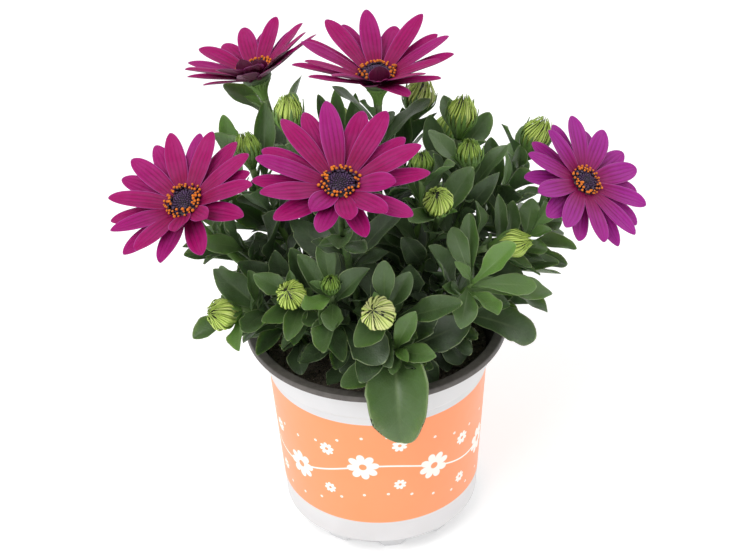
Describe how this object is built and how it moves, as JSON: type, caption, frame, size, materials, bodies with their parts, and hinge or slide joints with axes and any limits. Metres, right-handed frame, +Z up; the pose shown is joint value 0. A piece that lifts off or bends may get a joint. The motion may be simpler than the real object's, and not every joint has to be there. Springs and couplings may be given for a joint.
{
  "type": "potted osteospermum",
  "caption": "Flowering osteospermum with magenta daisy heads, furled buds and spoon-shaped leaves, growing in a round plastic nursery pot that stands on its own foot.",
  "frame": {"origin": "centre of the pot's standing pad, on the plane it stands on", "axes": "+Z up, +X to the right of the arrangement as seen from its front, +Y to its back"},
  "size_m": [0.2359, 0.1812, 0.237],
  "materials": {
    "pot": "smooth thermoformed plastic, white outside with an orange printed band, dark grey rim and inside",
    "soil": "damp crumbly peat",
    "foliage": "fleshy green stems and leaves with a satin surface",
    "petals": "soft magenta rays with fine lengthwise veins",
    "disc": "dark violet florets with orange pollen",
    "bud": "furled yellow-green rays with darker stripes"
  },
  "bodies": {
    "root": {"pot": "pot", "soil": "soil", "shoot_bloom_left": "foliage", "bloom_left_rays": "petals", "bloom_left_disc": "disc", "shoot_bloom_back": "foliage", "bloom_back_rays": "petals", "bloom_back_disc": "disc", "shoot_bloom_top": "foliage", "bloom_top_rays": "petals", "bloom_top_disc": "disc", "shoot_bloom_front": "foliage", "bloom_front_rays": "petals", "bloom_front_disc": "disc", "shoot_bloom_right": "foliage", "bloom_right_rays": "petals", "bloom_right_disc": "disc", "shoot_bud_tall": "foliage", "bud_tall": "bud", "shoot_bud_tall_left": "foliage", "bud_tall_left": "bud", "shoot_bud_behind_top": "foliage", "bud_behind_top": "bud", "shoot_bud_high_right": "foliage", "bud_high_right": "bud", "shoot_bud_young_right": "foliage", "bud_young_right": "bud", "shoot_bud_far_right": "foliage", "bud_far_right": "bud", "shoot_bud_middle": "foliage", "bud_middle": "bud", "shoot_bud_young_middle": "foliage", "bud_young_middle": "bud", "shoot_bud_low_right": "foliage", "bud_low_right": "bud", "shoot_bud_front_left": "foliage", "bud_front_left": "bud", "shoot_bud_far_left": "foliage", "bud_far_left": "bud", "shoot_bud_front": "foliage", "bud_front": "bud", "shoot_bud_young_front": "foliage", "bud_young_front": "bud", "shoot_bud_behind": "foliage", "bud_behind": "bud", "shoot_bud_behind_right": "foliage", "bud_behind_right": "bud", "shoot_tuft_right_front": "foliage", "shoot_tuft_right": "foliage", "shoot_tuft_front": "foliage", "shoot_tuft_left": "foliage", "shoot_tuft_left_behind": "foliage", "shoot_tuft_behind": "foliage", "shoot_tuft_right_behind": "foliage"}
  },
  "joints": []
}
